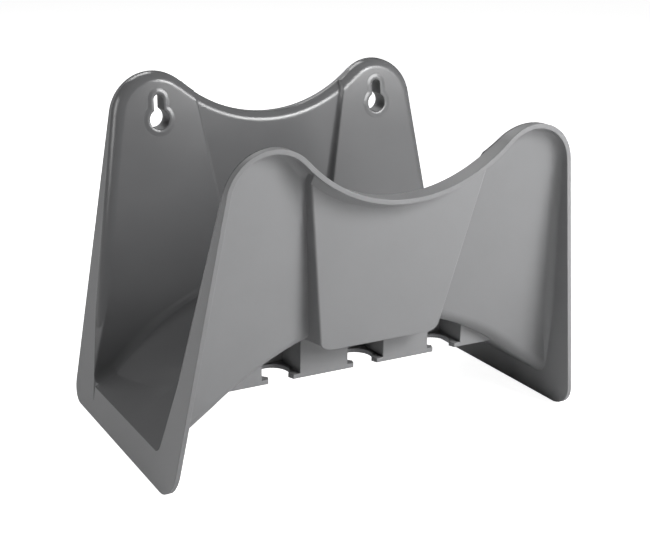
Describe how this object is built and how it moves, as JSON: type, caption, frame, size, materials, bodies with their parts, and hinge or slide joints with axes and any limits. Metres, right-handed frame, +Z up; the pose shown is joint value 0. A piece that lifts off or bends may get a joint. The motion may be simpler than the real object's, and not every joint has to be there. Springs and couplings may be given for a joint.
{
  "type": "hose hanger",
  "caption": "Moulded wall hanger for a garden hose: arched saddle between flared plates, keyholes in the back ears, snap-in pockets for hose connectors underneath.",
  "frame": {"origin": "midway between the round parts of the keyholes, on the wall plane that the back rim lies against", "axes": "+Y into the wall, -Y towards the front, +Z up, +X to the right seen from the front"},
  "size_m": [0.25, 0.1624, 0.1876],
  "materials": {
    "moulding": "satin grained outside, smooth on the hose side"
  },
  "bodies": {
    "root": {"hose_hanger": "moulding"}
  },
  "joints": []
}
